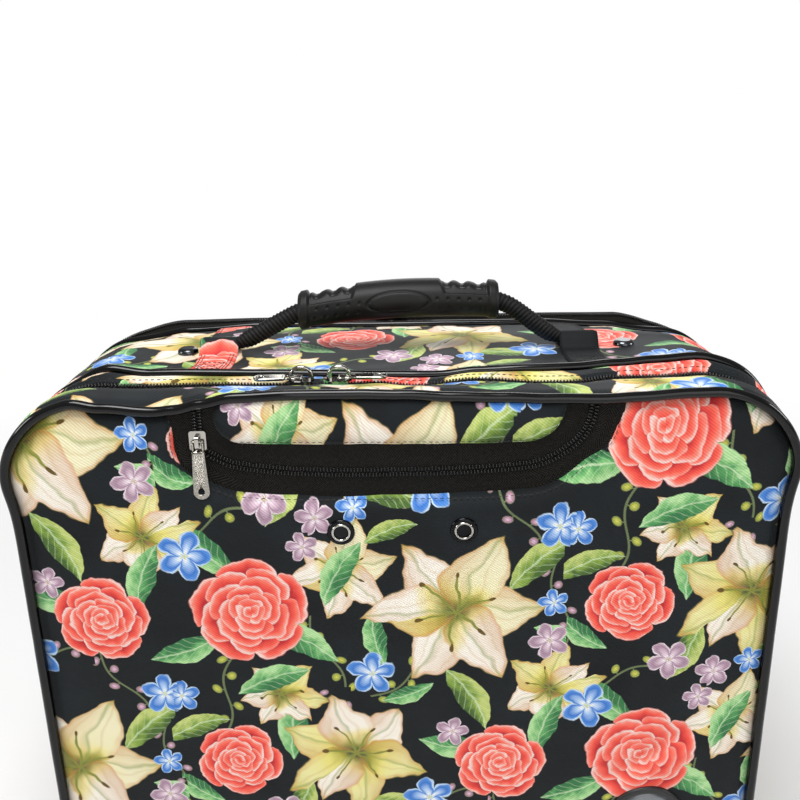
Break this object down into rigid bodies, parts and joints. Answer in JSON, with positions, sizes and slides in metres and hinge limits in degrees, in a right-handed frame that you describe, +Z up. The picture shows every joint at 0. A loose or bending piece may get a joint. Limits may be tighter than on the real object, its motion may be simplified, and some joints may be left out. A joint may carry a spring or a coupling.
{
  "type": "rolling laptop case",
  "caption": "Soft-sided rolling laptop case in a dark flower print, with piping, zip pockets, a rubber carry grip, a telescopic trolley and wheels.",
  "frame": {"origin": "on the floor under the middle of the case's box", "axes": "+X to the case's right side as seen from the front, +Y from the front to the back, +Z up"},
  "size_m": [0.444, 0.224, 0.4],
  "materials": {
    "printed_fabric": "printed polyester twill, padded",
    "rose_print": "printed polyester twill",
    "lily_print": "printed polyester twill",
    "leaf_print": "printed polyester twill",
    "zip_tape": "black woven zip tape",
    "zip_coil": "black nylon coil",
    "piping_vinyl": "glossy black vinyl over cord",
    "zip_metal": "nickel plated",
    "gunmetal": "gunmetal plated",
    "webbing": "ribbed tubular webbing",
    "grip_rubber": "moulded, satin",
    "lining_cloth": "black taffeta lining",
    "board": "stiffening board",
    "badge_grey": "bare domed badge",
    "black_plastic": "injection moulded, fine texture",
    "tube_metal": "drawn tube, satin anodised",
    "steel": "zinc plated",
    "wheel_tyre": "polyurethane tread",
    "wheel_core": "moulded wheel centre",
    "foot_rubber": "moulded"
  },
  "bodies": {
    "case": {"front_panel": "printed_fabric", "pocket_flap": "printed_fabric", "pocket_zip_tape": "zip_tape", "pocket_zip_coil": "zip_coil", "pocket_lining": "lining_cloth", "front_piping": "piping_vinyl", "middle_piping": "piping_vinyl", "rear_piping": "piping_vinyl", "front_gusset": "printed_fabric", "zip_gusset": "printed_fabric", "rear_gusset": "printed_fabric", "rear_pocket_gusset": "printed_fabric", "main_zip_tape": "zip_tape", "main_zip_coil": "zip_coil", "rear_zip_tape": "zip_tape", "rear_zip_coil": "zip_coil", "back_panel": "printed_fabric", "back_board": "board", "base_board": "board", "laptop_sleeve": "lining_cloth", "strap_bands": "printed_fabric", "handle_studs": "gunmetal", "pocket_rivets": "gunmetal", "badge_rim": "black_plastic", "badge_dome": "badge_grey", "print_roses": "rose_print", "print_lilies": "lily_print", "print_leaves": "leaf_print", "trolley_cup": "black_plastic", "trolley_base": "black_plastic", "screws": "steel", "outer_tubes": "tube_metal", "wheel_housing_left": "black_plastic", "wheel_housing_right": "black_plastic", "wheel_axles": "steel", "front_feet": "foot_rubber"},
    "pocket_slider_body": {"pocket_slider": "zip_metal"},
    "pocket_puller_body": {"pocket_puller": "zip_metal"},
    "main_slider_left_body": {"main_slider_left": "zip_metal"},
    "main_slider_right_body": {"main_slider_right": "zip_metal"},
    "main_puller_left_body": {"main_puller_left": "zip_metal"},
    "main_puller_right_body": {"main_puller_right": "zip_metal"},
    "rear_slider_left_body": {"rear_slider_left": "zip_metal"},
    "rear_slider_right_body": {"rear_slider_right": "zip_metal"},
    "rear_puller_left_body": {"rear_puller_left": "zip_metal"},
    "rear_puller_right_body": {"rear_puller_right": "zip_metal"},
    "carry_handle": {"carry_strap": "webbing", "carry_grip": "grip_rubber"},
    "trolley_middle": {"middle_tubes": "tube_metal"},
    "trolley_top": {"inner_tubes": "tube_metal", "trolley_grip": "black_plastic", "button_spring": "steel"},
    "trolley_button": {"release_button": "black_plastic", "release_rods": "steel"},
    "wheel_left": {"wheel_tyre_left": "wheel_tyre", "wheel_core_left": "wheel_core", "wheel_bearings_left": "steel"},
    "wheel_right": {"wheel_tyre_right": "wheel_tyre", "wheel_core_right": "wheel_core", "wheel_bearings_right": "steel"}
  },
  "joints": [
    {"name": "carry_handle_tilt", "type": "hinge", "parent": "case", "child": "carry_handle", "pos_m": [0, 0.008, 0.3578], "axis": [1, 0, 0], "range_deg": [-60, 60], "stiffness_Nm_per_rad": 0.5},
    {"name": "pocket_slide", "type": "slide", "parent": "case", "child": "pocket_slider_body", "axis": [0, 0, 1], "range_m": [0, 0.005]},
    {"name": "pocket_puller_lift", "type": "hinge", "parent": "pocket_slider_body", "child": "pocket_puller_body", "pos_m": [-0.112, -0.1095, 0.3383], "axis": [-1, 0, 0], "range_deg": [0, 170]},
    {"name": "main_slide_left", "type": "slide", "parent": "case", "child": "main_slider_left_body", "axis": [1, 0, 0], "range_m": [-0.09, 0]},
    {"name": "main_puller_left_lift", "type": "hinge", "parent": "main_slider_left_body", "child": "main_puller_left_body", "pos_m": [-0.057, -0.069, 0.361], "axis": [0, 1, 0], "range_deg": [0, 150]},
    {"name": "main_slide_right", "type": "slide", "parent": "case", "child": "main_slider_right_body", "axis": [1, 0, 0], "range_m": [0, 0.185]},
    {"name": "main_puller_right_lift", "type": "hinge", "parent": "main_slider_right_body", "child": "main_puller_right_body", "pos_m": [-0.035, -0.069, 0.361], "axis": [0, -1, 0], "range_deg": [0, 150]},
    {"name": "rear_slide_left", "type": "slide", "parent": "case", "child": "rear_slider_left_body", "axis": [1, 0, 0], "range_m": [-0.135, 0]},
    {"name": "rear_puller_left_lift", "type": "hinge", "parent": "rear_slider_left_body", "child": "rear_puller_left_body", "pos_m": [-0.011, 0.0875, 0.3575], "axis": [0, 1, 0], "range_deg": [0, 140]},
    {"name": "rear_slide_right", "type": "slide", "parent": "case", "child": "rear_slider_right_body", "axis": [1, 0, 0], "range_m": [0, 0.145]},
    {"name": "rear_puller_right_lift", "type": "hinge", "parent": "rear_slider_right_body", "child": "rear_puller_right_body", "pos_m": [0.001, 0.0875, 0.3575], "axis": [0, -1, 0], "range_deg": [0, 140]},
    {"name": "trolley_lower_stage", "type": "slide", "parent": "case", "child": "trolley_middle", "axis": [0, 0, 1], "range_m": [0, 0.25]},
    {"name": "trolley_upper_stage", "type": "slide", "parent": "trolley_middle", "child": "trolley_top", "axis": [0, 0, 1], "range_m": [0, 0.25]},
    {"name": "button_press", "type": "slide", "parent": "trolley_top", "child": "trolley_button", "axis": [0, 0, -1], "range_m": [0, 0.0025], "stiffness_N_per_m": 1500, "springref_m": -0.001, "deforming": ["button_spring"]},
    {"name": "wheel_left_spin", "type": "hinge", "parent": "case", "child": "wheel_left", "pos_m": [-0.201, 0.082, 0.025], "axis": [1, 0, 0], "continuous": true},
    {"name": "wheel_right_spin", "type": "hinge", "parent": "case", "child": "wheel_right", "pos_m": [0.201, 0.082, 0.025], "axis": [1, 0, 0], "continuous": true}
  ]
}
